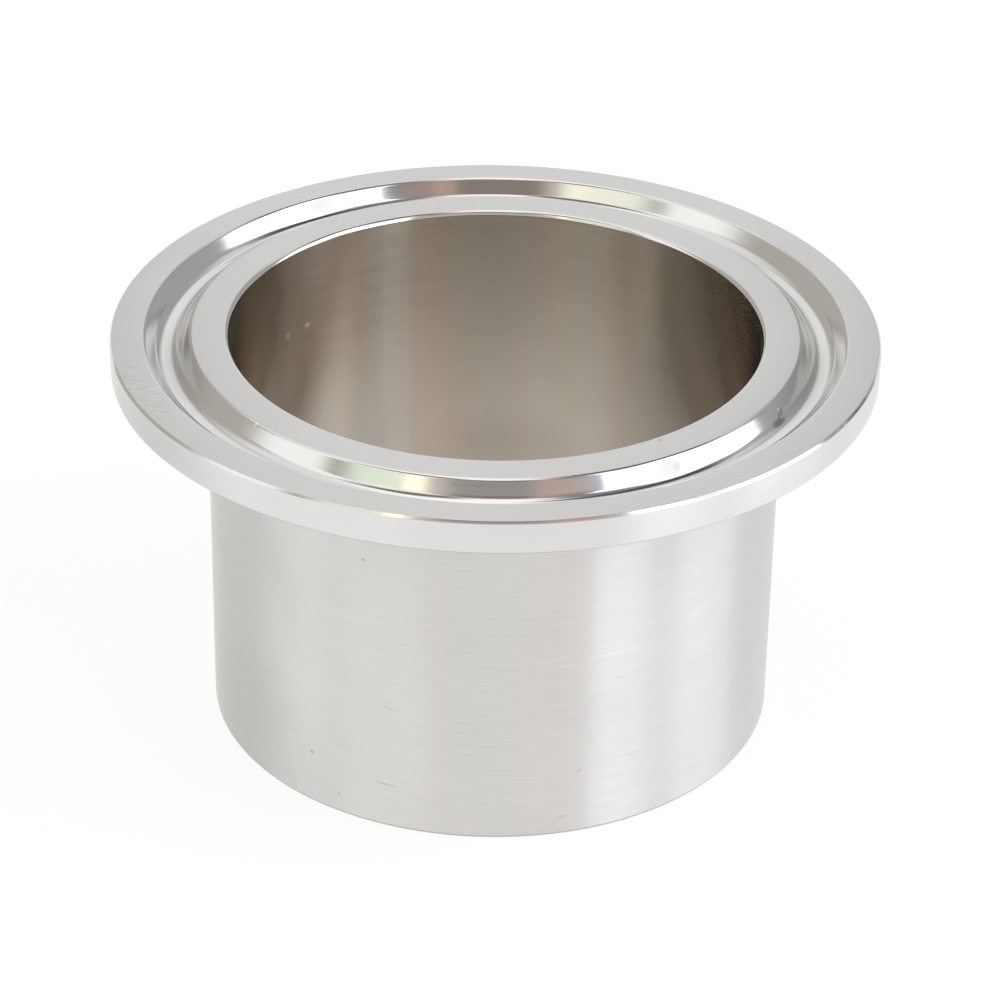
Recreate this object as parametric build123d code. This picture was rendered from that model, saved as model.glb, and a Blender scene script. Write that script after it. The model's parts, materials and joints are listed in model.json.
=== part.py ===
from build123d import *
import math
import os

# Sanitary clamp ferrule, a short stainless tube turned in one piece with a grooved flange.
# Millimetres. The origin is the centre of the tube's weld end, and +Z runs up the bore
# to the sealing face. The part stands on the weld end.

# Tube
overall_length = 27.5  # weld end to sealing face
tube_diameter = 38.0  # outside, for a 1 1/2 inch line
wall_thickness = 1.5  # leaves a 35 mm bore

# Sealing face, stepping out from the tube's outside surface: 50.5 mm across in all
groove_start = 1.05  # tube surface to the groove's inner edge
groove_width = 2.95  # at the face
outer_land_width = 2.25  # the flat ring between the groove and the rim

# Gasket groove
groove_depth = 1.2
groove_floor_width = 1.2  # the walls lean out from the floor to groove_width

# Clamp flange
rim_height = 2.2  # the straight edge that the clamp closes around
clamp_angle = 20.0  # degrees, the fall of the flange's back towards the tube

# Edges
rim_break_width = 0.13  # a narrow steep chamfer breaks the rim's top edge
rim_break_height = 0.17
rim_break_radius = 0.04
rim_back_radius = 0.15
neck_radius = 1.5  # between the flange's back and the tube
groove_edge_radius = 0.35
groove_floor_radius = 0.85  # the floor runs into the walls in wide curves
bore_edge_radius = 0.35
weld_end_radius = 0.2

# Radii and heights that follow
tube_radius = tube_diameter / 2
bore_radius = tube_radius - wall_thickness
groove_inner_radius = tube_radius + groove_start
groove_outer_radius = groove_inner_radius + groove_width
flange_radius = groove_outer_radius + outer_land_width

groove_wall_lean = (groove_width - groove_floor_width) / 2
floor_inner_radius = groove_inner_radius + groove_wall_lean
floor_outer_radius = groove_outer_radius - groove_wall_lean
groove_floor_height = overall_length - groove_depth

rim_back_height = overall_length - rim_height
back_fall = (flange_radius - tube_radius) * math.tan(math.radians(clamp_angle))
neck_height = rim_back_height - back_fall

# Corners of the turned section as radius, height and rounding
section_corners = [
    (bore_radius, 0, weld_end_radius),
    (tube_radius, 0, weld_end_radius),
    (tube_radius, neck_height, neck_radius),
    (flange_radius, rim_back_height, rim_back_radius),
    (flange_radius, overall_length - rim_break_height, rim_break_radius),
    (flange_radius - rim_break_width, overall_length, rim_break_radius),
    (groove_outer_radius, overall_length, groove_edge_radius),
    (floor_outer_radius, groove_floor_height, groove_floor_radius),
    (floor_inner_radius, groove_floor_height, groove_floor_radius),
    (groove_inner_radius, overall_length, groove_edge_radius),
    (bore_radius, overall_length, bore_edge_radius),
]


def turned_ring(corners):
    """A solid of revolution about Z, from its section's corners and their roundings."""
    points = [(radius, height) for radius, height, rounding in corners]
    roundings = [rounding for radius, height, rounding in corners]
    outline = FilletPolyline(*points, radius=roundings, close=True)
    section = Plane.XZ * make_face(outline)
    return revolve(section, Axis.Z)


os.makedirs("parts", exist_ok=True)
ferrule = turned_ring(section_corners)
ferrule.label = "ferrule"
export_step(ferrule, "parts/ferrule.step")
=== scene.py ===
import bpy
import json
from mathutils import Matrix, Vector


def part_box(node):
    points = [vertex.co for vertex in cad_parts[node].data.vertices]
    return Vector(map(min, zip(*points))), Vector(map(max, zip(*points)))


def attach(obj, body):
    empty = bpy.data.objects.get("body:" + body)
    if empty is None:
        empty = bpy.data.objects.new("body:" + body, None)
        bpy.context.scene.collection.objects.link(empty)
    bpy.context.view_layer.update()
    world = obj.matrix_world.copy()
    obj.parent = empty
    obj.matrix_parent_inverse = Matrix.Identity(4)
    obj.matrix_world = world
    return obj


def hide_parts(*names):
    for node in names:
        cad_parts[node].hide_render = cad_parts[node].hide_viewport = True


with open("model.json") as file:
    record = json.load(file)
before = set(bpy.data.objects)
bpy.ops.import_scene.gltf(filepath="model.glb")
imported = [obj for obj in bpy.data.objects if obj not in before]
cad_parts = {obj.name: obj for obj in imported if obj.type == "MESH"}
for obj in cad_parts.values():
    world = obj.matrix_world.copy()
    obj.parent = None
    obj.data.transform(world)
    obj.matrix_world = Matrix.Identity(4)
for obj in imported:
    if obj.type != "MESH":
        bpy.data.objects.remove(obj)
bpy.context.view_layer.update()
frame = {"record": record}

import bpy
import json
import math
from mathutils import Matrix, Vector

# Sanitary clamp ferrule: one turned piece of stainless steel on a pale floor. Metres.
mm = 0.001
scene = bpy.context.scene
record = frame["record"]
mounts = {mount["name"]: mount for mount in record["mounts"]}
boxLow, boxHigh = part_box("ferrule")
length = boxHigh.z - boxLow.z
print("frame loaded")


def toLinear(hexColour):
    channels = [int(hexColour[i:i + 2], 16) / 255 for i in (1, 3, 5)]
    linear = [c / 12.92 if c <= 0.04045 else ((c + 0.055) / 1.055) ** 2.4 for c in channels]
    return (*linear, 1.0)


def addNode(tree, kind, inputs=(), **settings):
    node = tree.nodes.new(kind)
    for name, value in settings.items():
        setattr(node, name, value)
    for socket, value in dict(inputs).items():
        if isinstance(value, bpy.types.NodeSocket):
            tree.links.new(value, node.inputs[socket])
        else:
            node.inputs[socket].default_value = value
    return node


# Tool marks run round the axis: they repeat with height on a wall and with radius on a face.
# Real ones are about 0.03 mm apart, too fine to show, so they are drawn several times coarser.
finishes = {
    # faced on a lathe, then lightly buffed: an even satin grey with the faintest hairline circles
    "facedStainless": {
        "colour": "#d1d0cf", "roughness": 0.27, "anisotropy": 0.75, "across": "radius",
        "linePitch": 0.20 * mm, "lineLength": 6.0 * mm, "lineTone": 0.006, "lineRough": 0.02,
        "cloudTone": 0.015, "fleckTone": 0.03,
    },
    # buffed to a mirror: sharp dark and white reflections of the studio
    "buffedStainless": {
        "colour": "#dad9d7", "roughness": 0.12, "anisotropy": 0.3, "across": "height",
        "linePitch": 0.16 * mm, "lineLength": 4.0 * mm, "lineTone": 0.015, "lineRough": 0.15,
        "cloudTone": 0.015, "fleckTone": 0.02,
    },
    # fine turned tube wall: reflections drawn out up and down, with short broken hairlines
    "turnedTubeStainless": {
        "colour": "#dfddda", "roughness": 0.29, "anisotropy": 1.0, "across": "height",
        "linePitch": 0.14 * mm, "lineLength": 3.0 * mm, "lineTone": 0.024, "lineRough": 0.025,
        "cloudTone": 0.02, "fleckTone": 0.02,
    },
    # turned rim edge: smoother than the tube, nearly plain bright grey
    "turnedRimStainless": {
        "colour": "#e6e5e4", "roughness": 0.25, "anisotropy": 1.0, "across": "height",
        "linePitch": 0.20 * mm, "lineLength": 5.0 * mm, "lineTone": 0.008, "lineRough": 0.04,
        "cloudTone": 0.015, "fleckTone": 0.01,
    },
    # as the tool left it, never buffed: a plain duller grey on the flange's back and the weld end; its
    # darker colour is painted shade, giving the rim's lower rounding and the tube's bottom edge a thin grey
    # line
    "turnedBackAndShadeStainless": {
        "colour": "#bebcb9", "roughness": 0.36, "anisotropy": 0.6, "across": "height",
        "linePitch": 0.20 * mm, "lineLength": 4.0 * mm, "lineTone": 0.015, "lineRough": 0.08,
        "cloudTone": 0.02, "fleckTone": 0.02,
    },
    # drawn tube inside, never polished: warmer and duller, with soft upright streaks
    "drawnBoreStainless": {
        "colour": "#bfb0a1", "streakColour": "#b8b5ad",
        "roughness": 0.21, "anisotropy": 1.0, "across": "height",
        "linePitch": 0.60 * mm, "lineLength": 4.0 * mm, "lineTone": 0.008, "lineRough": 0.04,
        "cloudTone": 0.04, "fleckTone": 0.03,
    },
}
textureSizes = {"cloud": 7 * mm, "fleck": 0.35 * mm, "streak": 140 * mm}
noiseSpread = (0.3, 0.7)  # most of a noise lies between these
fleckSpread = (0.68, 0.82)  # only a noise's highest peaks make a fleck
boreStreaks = {"scale": 4.5, "detail": 2.0, "roughness": 0.6, "spread": (0.33, 0.67)}
scratchSpread = (0.42, 0.62)

# Small wear and painted light, in degrees and millimetres: angle round from the front with right positive,
# radius and height of its place, length along the tool marks, width, tilt, and tone from dark to pale.
# Marks longer than patchLength are soft patches of painted shade and painted reflection, broad changes of
# tone rather than wear.
wearAndPaintedLight = {
    "turnedTubeStainless": [
        (-25.2, 19, 19.9, 0.30, 0.20, 0, -0.30), (-37.5, 19, 3.9, 0.28, 0.22, 0, -0.35),
        (-31.0, 19, 1.5, 0.22, 0.20, 0, -0.18), (-49.6, 19, 8.3, 0.35, 0.25, 40, -0.12),
        (-20.6, 19, 3.3, 1.60, 0.11, -4, -0.22), (-20.3, 19, 3.5, 1.50, 0.10, -4, 0.07),
        (-20.0, 19, 9.2, 1.00, 0.11, -6, -0.14), (-20.6, 19, 9.7, 0.80, 0.10, -6, -0.08),
        (25.6, 19, 11.4, 0.18, 0.15, 0, -0.15), (28.9, 19, 5.2, 0.90, 0.12, 10, -0.10),
        (17.8, 19, 4.8, 0.40, 0.16, 15, -0.20), (14.8, 19, 1.4, 0.80, 0.14, 5, -0.14),
        (11.5, 19, 13.4, 1.70, 0.10, 8, 0.06), (14.5, 19, 13.0, 1.20, 0.10, 10, 0.07),
        (23.6, 19, 13.3, 1.60, 0.12, 6, 0.07), (26.0, 19, 14.2, 1.10, 0.11, 9, 0.05),
        (40.5, 19, 14.6, 1.70, 0.12, 24, 0.05), (43.0, 19, 14.3, 1.90, 0.12, 27, 0.06),
        (45.5, 19, 14.5, 1.60, 0.12, 30, 0.05), (44.3, 19, 10.0, 0.60, 0.20, 20, -0.06),
        # painted shade: these two broad soft patches darken the tube's left side
        (-64.0, 19, 14.0, 13.0, 24.0, 0, -0.15), (-61.0, 19, 1.0, 15.0, 13.0, 0, -0.13),
    ],
    "facedStainless": [
        (34.8, 18.1, 27.5, 0.30, 0.20, 0, -0.30), (-62.0, 19.2, 27.5, 0.20, 0.16, 0, -0.12),
        (64.0, 24.0, 27.5, 0.45, 0.10, 35, -0.12), (67.5, 24.3, 27.5, 0.35, 0.09, -30, 0.08),
        (58.0, 23.7, 27.5, 0.30, 0.10, 50, 0.08), (24.0, 24.2, 27.5, 0.25, 0.12, 20, -0.10),
    ],
    "buffedStainless": [
        # the pale spots, tone 0.4 and more, are painted glints on the groove's inner edge and wall and on
        # the rim's top edge, with darker smudges beside them
        (-80.2, 22.4, 26.3, 0.26, 0.26, 0, -0.55), (-47.8, 20.1, 27.4, 0.22, 0.20, 0, 0.40),
        (61.8, 20.45, 26.95, 0.18, 0.16, 0, 0.9), (61.2, 20.74, 26.55, 0.22, 0.12, 50, 0.9),
        (62.2, 20.92, 26.30, 0.16, 0.14, 0, 0.9), (64.5, 20.6, 26.75, 0.14, 0.12, 0, 0.5),
        (59.8, 20.85, 26.40, 1.5, 0.7, 0, -0.5), (61.5, 20.6, 26.7, 1.2, 0.4, 30, -0.3),
        (58.8, 25.13, 27.49, 0.20, 0.20, 0, 1.0), (60.8, 25.23, 27.36, 0.22, 0.20, 0, 1.0),
        (64.0, 25.2, 27.42, 1.8, 0.4, 0, -0.4), (67.5, 25.2, 27.42, 2.0, 0.4, 0, -0.35),
        (33.6, 20.5, 26.9, 0.80, 0.45, 70, -0.12),
        # painted shade: two long soft patches darken the groove's inner wall at the left and right sides
        (76.0, 20.5, 26.9, 8.0, 1.8, 0, -0.32), (-77.0, 20.5, 26.9, 8.0, 1.8, 0, -0.32),
    ],
    "turnedRimStainless": [
        # painted shade: the long soft patch darkens the rim's left side
        (-60.0, 25.25, 26.2, 14.0, 3.6, 0, -0.20), (-71.0, 25.25, 26.4, 1.8, 0.35, -15, -0.05),
    ],
    "drawnBoreStainless": [
        (-110.2, 17.5, 26.3, 0.30, 0.30, 0, 0.45), (-121.2, 17.5, 23.0, 0.35, 0.30, 0, 0.40),
        (-125.2, 17.5, 21.3, 0.40, 0.35, 0, 0.55), (-131.7, 17.5, 21.4, 0.45, 0.40, 0, 0.60),
        # the marks 5 mm wide and more are painted reflection and painted shade: pale and dark upright bands
        # and a darker right side in the bore
        (-142.1, 17.5, 20.7, 0.40, 0.30, 0, 0.10), (-156.5, 17.5, 20.0, 2.2, 40.0, 0, 0.08),
        (128.0, 17.5, 16.0, 13.0, 44.0, 0, -0.34), (-176.0, 17.5, 20.0, 6.0, 30.0, 0, -0.10),
        (-104.0, 17.5, 20.5, 7.0, 26.0, 0, 0.90), (-138.5, 17.5, 21.0, 3.4, 22.0, 0, 0.32),
        (103.0, 17.5, 18.0, 4.0, 30.0, 0, 0.30), (177.0, 17.5, 9.0, 9.0, 5.0, 0, -0.12),
        (-132.8, 17.5, 25.3, 1.9, 0.18, 14, 0.14), (-130.4, 17.5, 24.7, 1.4, 0.16, 32, 0.12),
        (-136.5, 17.5, 24.2, 2.4, 0.20, 8, 0.08),
    ],
}
markDepth = 0.4 * mm
markSoft, patchSoft, patchLength = 0.4, 0.9, 3
# a rubbed patch on the outer land, full of short crossing scratches
rubbedPatch = {
    "place": (-66.5, 24.3, 27.5), "length": 9.0, "width": 1.9, "soft": 0.6,
    "scratchLength": 0.7 * mm, "scratchPitch": 0.14 * mm, "scratchTilts": (38, -24), "tone": 0.055,
}


def spotMask(tree, place, onFace, angle, radius, height, spotLength, width, tilt, soft):
    # 1 inside a small ellipse on the surface, 0 outside it
    turn = math.radians(angle)
    outward = Vector((math.sin(turn), -math.cos(turn), 0))
    along = Vector((math.cos(turn), math.sin(turn), 0))
    upwards = outward if onFace else Vector((0, 0, 1))
    axes = Matrix((along, upwards, along.cross(upwards))).transposed()
    leant = axes @ Matrix.Rotation(math.radians(tilt), 3, "Z")
    depth = max(markDepth, 0.25 * spotLength * mm)  # a long mark follows the round wall
    inSpot = addNode(
        tree, "ShaderNodeMapping",
        {"Vector": place, "Location": (outward * radius + Vector((0, 0, height))) * mm,
         "Rotation": leant.to_euler(), "Scale": (spotLength / 2 * mm, width / 2 * mm, depth / 2)},
        vector_type="TEXTURE",
    ).outputs[0]
    reach = addNode(tree, "ShaderNodeVectorMath", {0: inSpot}, operation="LENGTH").outputs["Value"]
    return addNode(
        tree, "ShaderNodeMapRange",
        {"Value": reach, "From Min": 1.0 + soft, "From Max": 1.0 - soft},
        interpolation_type="SMOOTHSTEP",
    ).outputs[0]


def makeFinish(name):
    values = finishes[name]
    material = bpy.data.materials.new(name)
    material.use_nodes = True
    tree = material.node_tree
    tree.nodes.clear()
    onFace = values["across"] == "radius"
    place = addNode(tree, "ShaderNodeTexCoord").outputs["Object"]
    parts = addNode(tree, "ShaderNodeSeparateXYZ", {0: place}).outputs
    flat = addNode(tree, "ShaderNodeVectorMath", {0: place, 1: (1, 1, 0)}, operation="MULTIPLY").outputs[0]
    radius = addNode(tree, "ShaderNodeVectorMath", {0: flat}, operation="LENGTH").outputs["Value"]
    outward = addNode(tree, "ShaderNodeVectorMath", {0: flat}, operation="NORMALIZE").outputs[0]
    across = radius if onFace else parts["Z"]

    def around(lineLength, pitch):
        # stretched round the axis: one unit is a line's length along and a pitch across
        long = addNode(
            tree, "ShaderNodeVectorMath", {0: flat, "Scale": 1 / lineLength}, operation="SCALE",
        ).outputs[0]
        fine = addNode(tree, "ShaderNodeMath", {0: across, 1: 1 / pitch}, operation="MULTIPLY").outputs[0]
        rise = addNode(tree, "ShaderNodeCombineXYZ", {2: fine}).outputs[0]
        return addNode(tree, "ShaderNodeVectorMath", {0: long, 1: rise}, operation="ADD").outputs[0]

    def noise(vector, scale, detail, roughness):
        return addNode(
            tree, "ShaderNodeTexNoise",
            {"Vector": vector, "Scale": scale, "Detail": detail, "Roughness": roughness},
        ).outputs[0]

    def between(value, low, high, atLow, atHigh):
        return addNode(
            tree, "ShaderNodeMapRange",
            {"Value": value, "From Min": low, "From Max": high, "To Min": atLow, "To Max": atHigh},
        ).outputs[0]

    def times(a, b):
        return addNode(tree, "ShaderNodeMath", {0: a, 1: b}, operation="MULTIPLY").outputs[0]

    lines = noise(around(values["lineLength"], values["linePitch"]), 1.0, 1.0, 0.5)
    clouds = noise(place, 1 / textureSizes["cloud"], 1.0, 0.5)
    flecks = noise(place, 1 / textureSizes["fleck"], 1.0, 0.5)

    shade = between(lines, *noiseSpread, 1 - values["lineTone"], 1 + values["lineTone"])
    shade = times(
        shade, between(clouds, *noiseSpread, 1 - values["cloudTone"], 1 + values["cloudTone"]),
    )
    shade = times(shade, between(flecks, *fleckSpread, 1.0, 1 - values["fleckTone"]))
    # wear marks darken or lighten the colour, and so do the soft patches of painted shade and painted
    # reflection and the painted glints listed with them
    for angle, markRadius, height, markLength, width, tilt, tone in wearAndPaintedLight.get(name, ()):
        soft = markSoft if markLength < patchLength else patchSoft
        mask = spotMask(tree, place, onFace, angle, markRadius, height, markLength, width, tilt, soft)
        shade = times(shade, between(mask, 0, 1, 1.0, 1 + tone))
    if onFace:
        mask = spotMask(
            tree, place, True, *rubbedPatch["place"],
            rubbedPatch["length"], rubbedPatch["width"], 0, rubbedPatch["soft"],
        )
        for tilt in rubbedPatch["scratchTilts"]:
            turned = addNode(
                tree, "ShaderNodeMapping",
                {"Vector": place, "Rotation": (0, 0, math.radians(tilt - rubbedPatch["place"][0])),
                 "Scale": (1 / rubbedPatch["scratchLength"], 1 / rubbedPatch["scratchPitch"], 1)},
            ).outputs[0]
            scratches = between(
                noise(turned, 1.0, 1.0, 0.5), *scratchSpread, -rubbedPatch["tone"], rubbedPatch["tone"],
            )
            scratched = addNode(
                tree, "ShaderNodeMath", {0: times(scratches, mask), 1: 1.0}, operation="ADD",
            ).outputs[0]
            shade = times(shade, scratched)
    colour = toLinear(values["colour"])[:3]
    if "streakColour" in values:
        rise = times(across, 1 / textureSizes["streak"])
        slowly = addNode(tree, "ShaderNodeCombineXYZ", {2: rise}).outputs[0]
        upright = addNode(tree, "ShaderNodeVectorMath", {0: outward, 1: slowly}, operation="ADD").outputs[0]
        streaks = noise(upright, boreStreaks["scale"], boreStreaks["detail"], boreStreaks["roughness"])
        colour = addNode(
            tree, "ShaderNodeMix",
            {"Factor": between(streaks, *boreStreaks["spread"], 0, 1),
             "A": toLinear(values["colour"]), "B": toLinear(values["streakColour"])},
            data_type="RGBA",
        ).outputs["Result"]
    colour = addNode(
        tree, "ShaderNodeVectorMath", {0: colour, "Scale": shade}, operation="SCALE",
    ).outputs[0]
    roughness = between(
        lines, *noiseSpread,
        values["roughness"] * (1 - values["lineRough"]), values["roughness"] * (1 + values["lineRough"]),
    )
    # the highlight spreads across the tool marks
    tangent = outward if onFace else addNode(tree, "ShaderNodeCombineXYZ", {2: 1.0}).outputs[0]
    shader = addNode(
        tree, "ShaderNodeBsdfPrincipled",
        {"Base Color": colour, "Metallic": 1.0, "Roughness": roughness,
         "Anisotropic": values["anisotropy"], "Tangent": tangent},
    )
    addNode(tree, "ShaderNodeOutputMaterial", {"Surface": shader.outputs[0]})
    return material


steel = {name: makeFinish(name) for name in finishes}
print("finishes made", list(steel))

# the ferrule's section, from the frame and from the sizes of its edges
ferruleSizes = {
    "Length": length,
    "Flange Radius": (boxHigh.x - boxLow.x) / 2,
    "Tube Radius": mounts["tube_outside"]["dims"]["r_mm"] * mm,
    "Bore Radius": mounts["bore"]["dims"]["r_mm"] * mm,
    "Rim Height": 2.2 * mm,
    "Back Slope": math.tan(math.radians(20)),
    "Groove Inner Radius": 20.05 * mm,
    "Groove Width": 2.95 * mm,
    "Groove Floor Width": 1.2 * mm,
    "Groove Depth": 1.2 * mm,
    "Rim Break Width": 0.13 * mm,
    "Rim Break Height": 0.17 * mm,
    "Rim Break Rounding": 0.04 * mm,
    "Rim Back Rounding": 0.15 * mm,
    "Neck Rounding": 1.5 * mm,
    "Groove Edge Rounding": 0.35 * mm,
    "Groove Floor Rounding": 0.85 * mm,
    "Bore Edge Rounding": 0.35 * mm,
    "Weld End Rounding": 0.2 * mm,
}
ferruleSteps = {"Steps Around": 640, "Steps In Rounding": 9}


def buildFerruleTree():
    tree = bpy.data.node_groups.new("turnedFerrule", "GeometryNodeTree")
    for name in ferruleSizes:
        tree.interface.new_socket(name, in_out="INPUT", socket_type="NodeSocketFloat")
    for name in ferruleSteps:
        tree.interface.new_socket(name, in_out="INPUT", socket_type="NodeSocketInt")
    tree.interface.new_socket("Geometry", in_out="OUTPUT", socket_type="NodeSocketGeometry")
    size = addNode(tree, "NodeGroupInput").outputs

    def reckon(operation, a, b):
        return addNode(tree, "ShaderNodeMath", {0: a, 1: b}, operation=operation).outputs[0]

    grooveOuter = reckon("ADD", size["Groove Inner Radius"], size["Groove Width"])
    wallLean = reckon("MULTIPLY", reckon("SUBTRACT", size["Groove Width"], size["Groove Floor Width"]), 0.5)
    floorInner = reckon("ADD", size["Groove Inner Radius"], wallLean)
    floorOuter = reckon("SUBTRACT", grooveOuter, wallLean)
    floorHeight = reckon("SUBTRACT", size["Length"], size["Groove Depth"])
    breakRadius = reckon("SUBTRACT", size["Flange Radius"], size["Rim Break Width"])
    breakHeight = reckon("SUBTRACT", size["Length"], size["Rim Break Height"])
    rimBack = reckon("SUBTRACT", size["Length"], size["Rim Height"])
    flangeReach = reckon("SUBTRACT", size["Flange Radius"], size["Tube Radius"])
    neckHeight = reckon("SUBTRACT", rimBack, reckon("MULTIPLY", flangeReach, size["Back Slope"]))

    corners = [  # radius, height, rounding
        (size["Bore Radius"], size["Length"], size["Bore Edge Rounding"]),
        (size["Groove Inner Radius"], size["Length"], size["Groove Edge Rounding"]),
        (floorInner, floorHeight, size["Groove Floor Rounding"]),
        (floorOuter, floorHeight, size["Groove Floor Rounding"]),
        (grooveOuter, size["Length"], size["Groove Edge Rounding"]),
        (breakRadius, size["Length"], size["Rim Break Rounding"]),
        (size["Flange Radius"], breakHeight, size["Rim Break Rounding"]),
        (size["Flange Radius"], rimBack, size["Rim Back Rounding"]),
        (size["Tube Radius"], neckHeight, size["Neck Rounding"]),
        (size["Tube Radius"], 0.0, size["Weld End Rounding"]),
        (size["Bore Radius"], 0.0, size["Weld End Rounding"]),
    ]
    index = addNode(tree, "GeometryNodeInputIndex").outputs[0]
    cornerPlace = addNode(tree, "GeometryNodeIndexSwitch", {0: index}, data_type="VECTOR")
    cornerRounding = addNode(tree, "GeometryNodeIndexSwitch", {0: index}, data_type="FLOAT")
    for switch in (cornerPlace, cornerRounding):
        while len(switch.index_switch_items) < len(corners):
            switch.index_switch_items.new()
    for number, (radius, height, rounding) in enumerate(corners, start=1):
        down = reckon("MULTIPLY", height, -1.0)  # the sweep turns the outline over
        point = addNode(tree, "ShaderNodeCombineXYZ", {"X": radius, "Y": down}).outputs[0]
        tree.links.new(point, cornerPlace.inputs[number])
        tree.links.new(rounding, cornerRounding.inputs[number])

    points = addNode(
        tree, "GeometryNodePoints", {"Count": len(corners), "Position": cornerPlace.outputs[0]},
    ).outputs[0]
    outline = addNode(tree, "GeometryNodePointsToCurves", {"Points": points}).outputs[0]
    outline = addNode(tree, "GeometryNodeSetSplineCyclic", {"Geometry": outline, "Cyclic": True}).outputs[0]
    outline = addNode(
        tree, "GeometryNodeFilletCurve",
        {"Curve": outline, "Count": size["Steps In Rounding"], "Radius": cornerRounding.outputs[0]},
        mode="POLY",
    ).outputs[0]
    # the outline is swept round the bore's circle, whose own radius comes off it first
    inwards = addNode(
        tree, "ShaderNodeCombineXYZ", {"X": reckon("MULTIPLY", size["Bore Radius"], -1.0)},
    ).outputs[0]
    outline = addNode(
        tree, "GeometryNodeTransform", {"Geometry": outline, "Translation": inwards},
    ).outputs[0]
    circle = addNode(
        tree, "GeometryNodeCurvePrimitiveCircle",
        {"Resolution": size["Steps Around"], "Radius": size["Bore Radius"]},
    ).outputs[0]
    body = addNode(tree, "GeometryNodeCurveToMesh", {"Curve": circle, "Profile Curve": outline}).outputs[0]
    body = addNode(tree, "GeometryNodeSetShadeSmooth", {"Geometry": body}).outputs[0]
    body = addNode(tree, "GeometryNodeRealizeInstances", {"Geometry": body}).outputs[0]

    # each face takes its finish from where it lies on the section
    place = addNode(tree, "GeometryNodeInputPosition").outputs[0]
    height = addNode(tree, "ShaderNodeSeparateXYZ", {0: place}).outputs["Z"]
    flat = addNode(tree, "ShaderNodeVectorMath", {0: place, 1: (1, 1, 0)}, operation="MULTIPLY").outputs[0]
    radius = addNode(tree, "ShaderNodeVectorMath", {0: flat}, operation="LENGTH").outputs["Value"]
    nearly = 0.01 * mm

    def above(value, limit, margin):
        return addNode(
            tree, "FunctionNodeCompare", {"A": value, "B": reckon("SUBTRACT", limit, margin)},
            operation="GREATER_THAN", data_type="FLOAT",
        ).outputs[0]

    everywhere = addNode(tree, "FunctionNodeCompare", {"A": 1.0, "B": 0.0}).outputs[0]

    def opposite(value):
        return addNode(tree, "FunctionNodeBooleanMath", {0: value}, operation="NOT").outputs[0]

    inBore = opposite(above(radius, size["Bore Radius"], -nearly))
    atWeldEnd = opposite(above(height, size["Weld End Rounding"], nearly))
    for where, finish in (
        (everywhere, "turnedTubeStainless"),
        # the weld end and the flange's back, down to the rim's lower rounding, take the darker grey of
        # painted shade
        (atWeldEnd, "turnedBackAndShadeStainless"),
        (above(radius, size["Tube Radius"], -nearly), "turnedBackAndShadeStainless"),
        (above(height, floorHeight, nearly), "buffedStainless"),
        (above(height, size["Length"], nearly), "facedStainless"),
        (above(radius, size["Flange Radius"], nearly), "turnedRimStainless"),
        (inBore, "drawnBoreStainless"),
    ):
        body = addNode(
            tree, "GeometryNodeSetMaterial",
            {"Geometry": body, "Selection": where, "Material": steel[finish]},
        ).outputs[0]
    addNode(tree, "NodeGroupOutput", {"Geometry": body})
    return tree


def turnFerrule():
    seed = bpy.data.objects.new("ferruleSeed", bpy.data.meshes.new("ferruleSeed"))
    scene.collection.objects.link(seed)
    turning = seed.modifiers.new("turnedFerrule", "NODES")
    turning.node_group = buildFerruleTree()
    values = {**ferruleSizes, **ferruleSteps}
    for item in turning.node_group.interface.items_tree:
        if item.in_out == "INPUT":
            turning[item.identifier] = values[item.name]
    evaluated = seed.evaluated_get(bpy.context.evaluated_depsgraph_get())
    mesh = bpy.data.meshes.new_from_object(evaluated)
    bpy.data.objects.remove(seed)
    piece = bpy.data.objects.new("turned_ferrule", mesh)
    scene.collection.objects.link(piece)
    evening = piece.modifiers.new("evenNormals", "WEIGHTED_NORMAL")  # flats shade flat up to the roundings
    evening.mode = "FACE_AREA"
    evening.weight = 100
    return piece


ferrule = turnFerrule()
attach(ferrule, "root")
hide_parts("ferrule")
print("ferrule turned,", len(ferrule.data.polygons), "faces")

# the floor looks nearly white to the camera and in the steel, and keeps a faint shadow
floorValues = {"size": 6.0, "colour": "#f1f1f1", "whiteShare": 0.86, "whiteLevel": 1.04}


def makeFloor():
    half = floorValues["size"] / 2
    mesh = bpy.data.meshes.new("floor")
    corners = [(-half, -half, 0), (half, -half, 0), (half, half, 0), (-half, half, 0)]
    mesh.from_pydata(corners, [], [(0, 1, 2, 3)])
    floor = bpy.data.objects.new("floor", mesh)
    scene.collection.objects.link(floor)
    material = bpy.data.materials.new("paleLaminate")  # matt white table laminate: an even, soft white
    material.use_nodes = True
    tree = material.node_tree
    tree.nodes.clear()
    ray = addNode(tree, "ShaderNodeLightPath").outputs
    matt = addNode(tree, "ShaderNodeBsdfDiffuse", {"Color": toLinear(floorValues["colour"])}).outputs[0]
    white = addNode(tree, "ShaderNodeEmission", {"Strength": floorValues["whiteLevel"]}).outputs[0]
    mirrored = addNode(
        tree, "ShaderNodeMath", {0: ray["Is Glossy Ray"], 1: ray["Is Transmission Ray"]},
        operation="MAXIMUM",
    ).outputs[0]
    seen = addNode(
        tree, "ShaderNodeMath", {0: ray["Is Camera Ray"], 1: mirrored}, operation="MAXIMUM",
    ).outputs[0]
    share = addNode(
        tree, "ShaderNodeMath", {0: seen, 1: floorValues["whiteShare"]}, operation="MULTIPLY",
    ).outputs[0]
    mixed = addNode(tree, "ShaderNodeMixShader", {0: share, 1: matt, 2: white}).outputs[0]
    addNode(tree, "ShaderNodeOutputMaterial", {"Surface": mixed})
    mesh.materials.append(material)


makeFloor()
print("floor laid")

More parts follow.
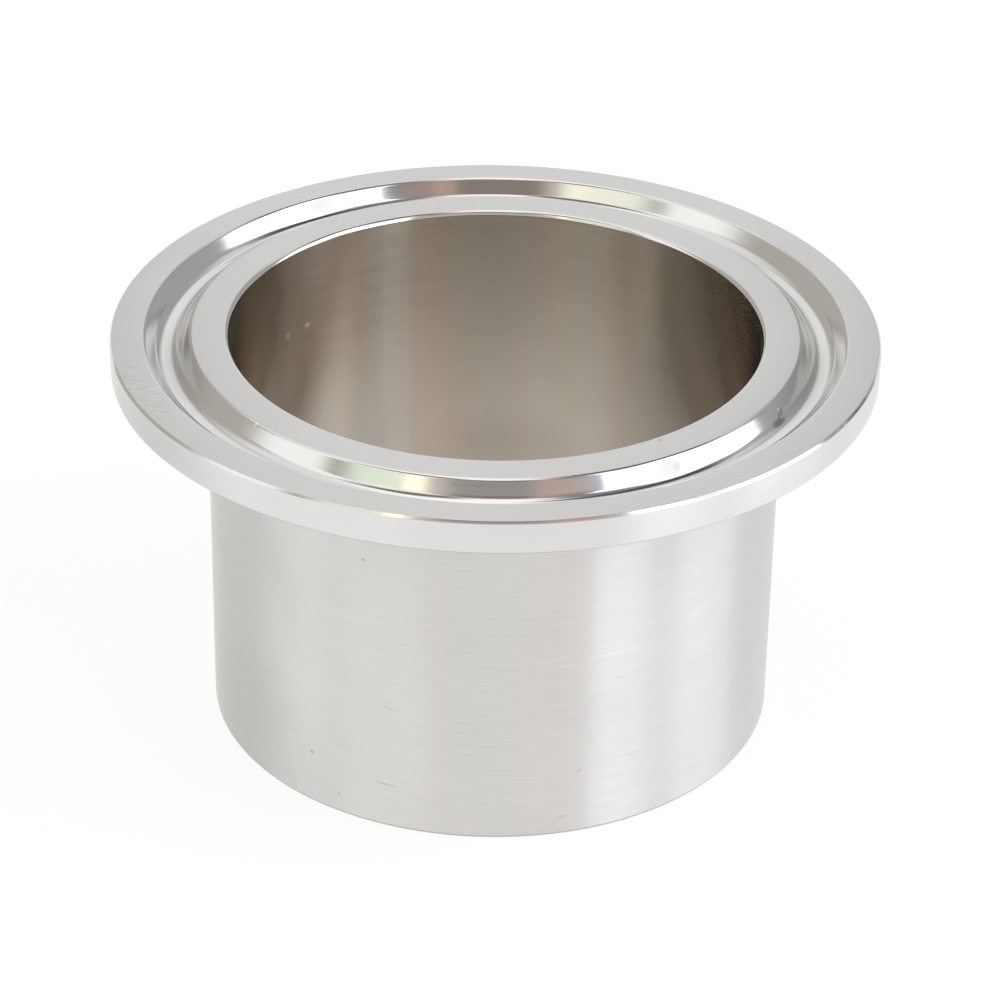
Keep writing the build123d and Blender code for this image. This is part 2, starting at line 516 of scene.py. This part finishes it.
# A white room, described by direction: degrees round from the front with right positive, and degrees up.
# Soft gives the half width of the four edges: from, to, low and high. A zone covers those above it.
allRound = (-200, 200)
studioZones = {
    "ceiling": {
        "round": allRound, "up": (66, 95), "soft": (5, 5, 5, 2), "colour": "#ffffff",
        "strength": 1.35},
    "left back": {
        "round": (-168, -94), "up": (-20, 42), "soft": (6, 7, 2, 6), "colour": "#c3c1b9",
        "strength": 1.0},
    "right back": {
        "round": (104, 168), "up": (-20, 42), "soft": (4, 6, 2, 6), "colour": "#b4b4b3",
        "strength": 1.0},
    "left panel": {
        "round": (-91, -66), "up": (3, 62), "soft": (5, 3, 2, 4), "colour": "#fffefc",
        "strength": 1.26},
    "grey frame": {
        "round": (-66, -56), "up": (3, 43), "soft": (3, 3, 2, 2), "colour": "#bcbeaf",
        "strength": 1.0},
    "window": {
        "round": (-56, -26), "up": (3, 62), "soft": (6, 1, 2, 4), "colour": "#f2feeb",
        "strength": 1.1},
    "upper window": {
        "round": (-56, -26), "up": (43, 62), "soft": (4, 1, 1.5, 4), "colour": "#fffff0",
        "strength": 1.22},
    "doorway": {
        "round": (-25.5, -15), "up": (3, 62), "soft": (1, 4, 2, 4), "colour": "#dad0c9",
        "strength": 1.0},
    "dark side": {
        "round": (-19, 44.3), "up": (3, 66), "soft": (3, 0.5, 2, 3), "colour": "#cbc8c8",
        "strength": 1.0},
    "warm wall": {
        "round": (19, 35), "up": (3, 58), "soft": (2, 3, 2, 3), "colour": "#dcc7c0",
        "strength": 1.0},
    "blue gap": {
        "round": (41, 44.3), "up": (3, 64), "soft": (0.6, 0.5, 2, 3), "colour": "#c0c2d0",
        "strength": 1.0},
    "dark top": {
        "round": (-19, 45), "up": (44.5, 66), "soft": (3, 0.5, 1.2, 3), "colour": "#948c85",
        "strength": 1.0},
    "warm top": {
        "round": (17, 28), "up": (44, 66), "soft": (2, 2, 1.5, 3), "colour": "#cbb0a3",
        "strength": 1.0},
    "dim warm top": {
        "round": (28, 38), "up": (44, 66), "soft": (2, 3, 1.5, 3), "colour": "#b09c9a",
        "strength": 1.0},
    "right panel": {
        "round": (44.5, 104), "up": (3, 60), "soft": (0.5, 3.5, 2, 3), "colour": "#ecf3ff",
        "strength": 3.60},
    "panel foot": {
        "round": (39, 48), "up": (3, 30), "soft": (1, 1, 2, 3), "colour": "#ecf3ff",
        "strength": 3.5},
    "panel edge": {
        "round": (43.6, 47.2), "up": (42.5, 66), "soft": (0.5, 0.5, 1, 3), "colour": "#a6acb0",
        "strength": 1.0},
    "panel end": {
        "round": (101, 130), "up": (43, 52), "soft": (2.5, 5, 1.5, 3), "colour": "#aaaaa9",
        "strength": 1.0},
    "panel seam": {
        "round": (61, 76), "up": (3, 60), "soft": (4, 2, 2, 3), "colour": "#ffffff",
        "strength": 1.28},
    "small lamp": {
        "round": (-32.7, -30.7), "up": (36, 45), "soft": (0.3, 0.3, 1, 1), "colour": "#ffc97c",
        "strength": 9.0},
    "window head": {
        "round": (-90, -22), "up": (60, 78), "soft": (3, 3, 3, 3), "colour": "#857a72",
        "strength": 1.0},
    "panel head": {
        "round": (42, 106), "up": (59, 78), "soft": (2, 2, 3, 3), "colour": "#8f9195",
        "strength": 1.0},
    "dark corner": {
        "round": (106, 156), "up": (50, 80), "soft": (3, 6, 3, 4), "colour": "#5a5856",
        "strength": 1.0},
}


def makeStudio():
    world = bpy.data.worlds.new("studio")
    scene.world = world
    world.use_nodes = True
    world.cycles.sampling_method = "NONE"  # an even room renders faster without light sampling
    tree = world.node_tree
    tree.nodes.clear()
    direction = addNode(tree, "ShaderNodeTexCoord").outputs["Generated"]
    parts = addNode(tree, "ShaderNodeSeparateXYZ", {0: direction}).outputs
    toFront = addNode(tree, "ShaderNodeMath", {0: parts["Y"], 1: -1.0}, operation="MULTIPLY").outputs[0]
    roundRadians = addNode(
        tree, "ShaderNodeMath", {0: parts["X"], 1: toFront}, operation="ARCTAN2",
    ).outputs[0]
    roundDegrees = addNode(tree, "ShaderNodeMath", {0: roundRadians}, operation="DEGREES").outputs[0]
    upRadians = addNode(tree, "ShaderNodeMath", {0: parts["Z"]}, operation="ARCSINE").outputs[0]
    upDegrees = addNode(tree, "ShaderNodeMath", {0: upRadians}, operation="DEGREES").outputs[0]

    ramps = {}  # zones that share an edge share its node

    def edge(value, limit, softness, rising):
        key = (value.node.name, limit, softness, rising)
        if key not in ramps:
            ramps[key] = addNode(
                tree, "ShaderNodeMapRange",
                {"Value": value, "From Min": limit - softness, "From Max": limit + softness,
                 "To Min": 1 - rising, "To Max": rising},
            ).outputs[0]
        return ramps[key]

    def times(a, b):
        return addNode(tree, "ShaderNodeMath", {0: a, 1: b}, operation="MULTIPLY").outputs[0]

    heights = {}
    seen = None
    for zone in studioZones.values():
        soft = zone["soft"]
        upKey = (zone["up"], soft[2:])
        if upKey not in heights:
            lowEdge = edge(upDegrees, zone["up"][0], soft[2], 1)
            heights[upKey] = times(lowEdge, edge(upDegrees, zone["up"][1], soft[3], 0))
        colour = [channel * zone["strength"] for channel in toLinear(zone["colour"])[:3]]
        share = heights[upKey]
        if zone["round"] != allRound:
            fromEdge = edge(roundDegrees, zone["round"][0], soft[0], 1)
            share = times(share, times(fromEdge, edge(roundDegrees, zone["round"][1], soft[1], 0)))
        seen = addNode(
            tree, "ShaderNodeMix", {"Factor": share, "A": seen or (1, 1, 1, 1), "B": (*colour, 1)},
            data_type="RGBA", clamp_result=False,
        ).outputs["Result"]
    ray = addNode(tree, "ShaderNodeLightPath").outputs
    room = addNode(tree, "ShaderNodeBackground", {"Color": seen, "Strength": 1.0}).outputs[0]
    backdrop = addNode(tree, "ShaderNodeBackground", {"Color": (1, 1, 1, 1), "Strength": 1.0}).outputs[0]
    mixed = addNode(tree, "ShaderNodeMixShader", {0: ray["Is Camera Ray"], 1: room, 2: backdrop}).outputs[0]
    addNode(tree, "ShaderNodeOutputWorld", {"Surface": mixed})


makeStudio()
print("studio lit")

cameraValues = {
    "place": (0.0, -213.67 * mm, 138.50 * mm), "aim": (0.4647 * mm, 0.0, 14.374 * mm),
    "lens": 131.87, "roll": 0.962,
}


def placeCamera():
    data = bpy.data.cameras.new("camera")
    data.lens = cameraValues["lens"]
    data.sensor_width = 36
    data.clip_start = 0.01
    camera = bpy.data.objects.new("camera", data)
    scene.collection.objects.link(camera)
    place, aim = Vector(cameraValues["place"]), Vector(cameraValues["aim"])
    facing = (aim - place).to_track_quat("-Z", "Y").to_matrix().to_4x4()
    tipped = Matrix.Rotation(math.radians(cameraValues["roll"]), 4, "Z")
    camera.matrix_world = Matrix.Translation(place) @ facing @ tipped
    scene.camera = camera


placeCamera()
scene.view_settings.view_transform = "Standard"
print("camera placed")
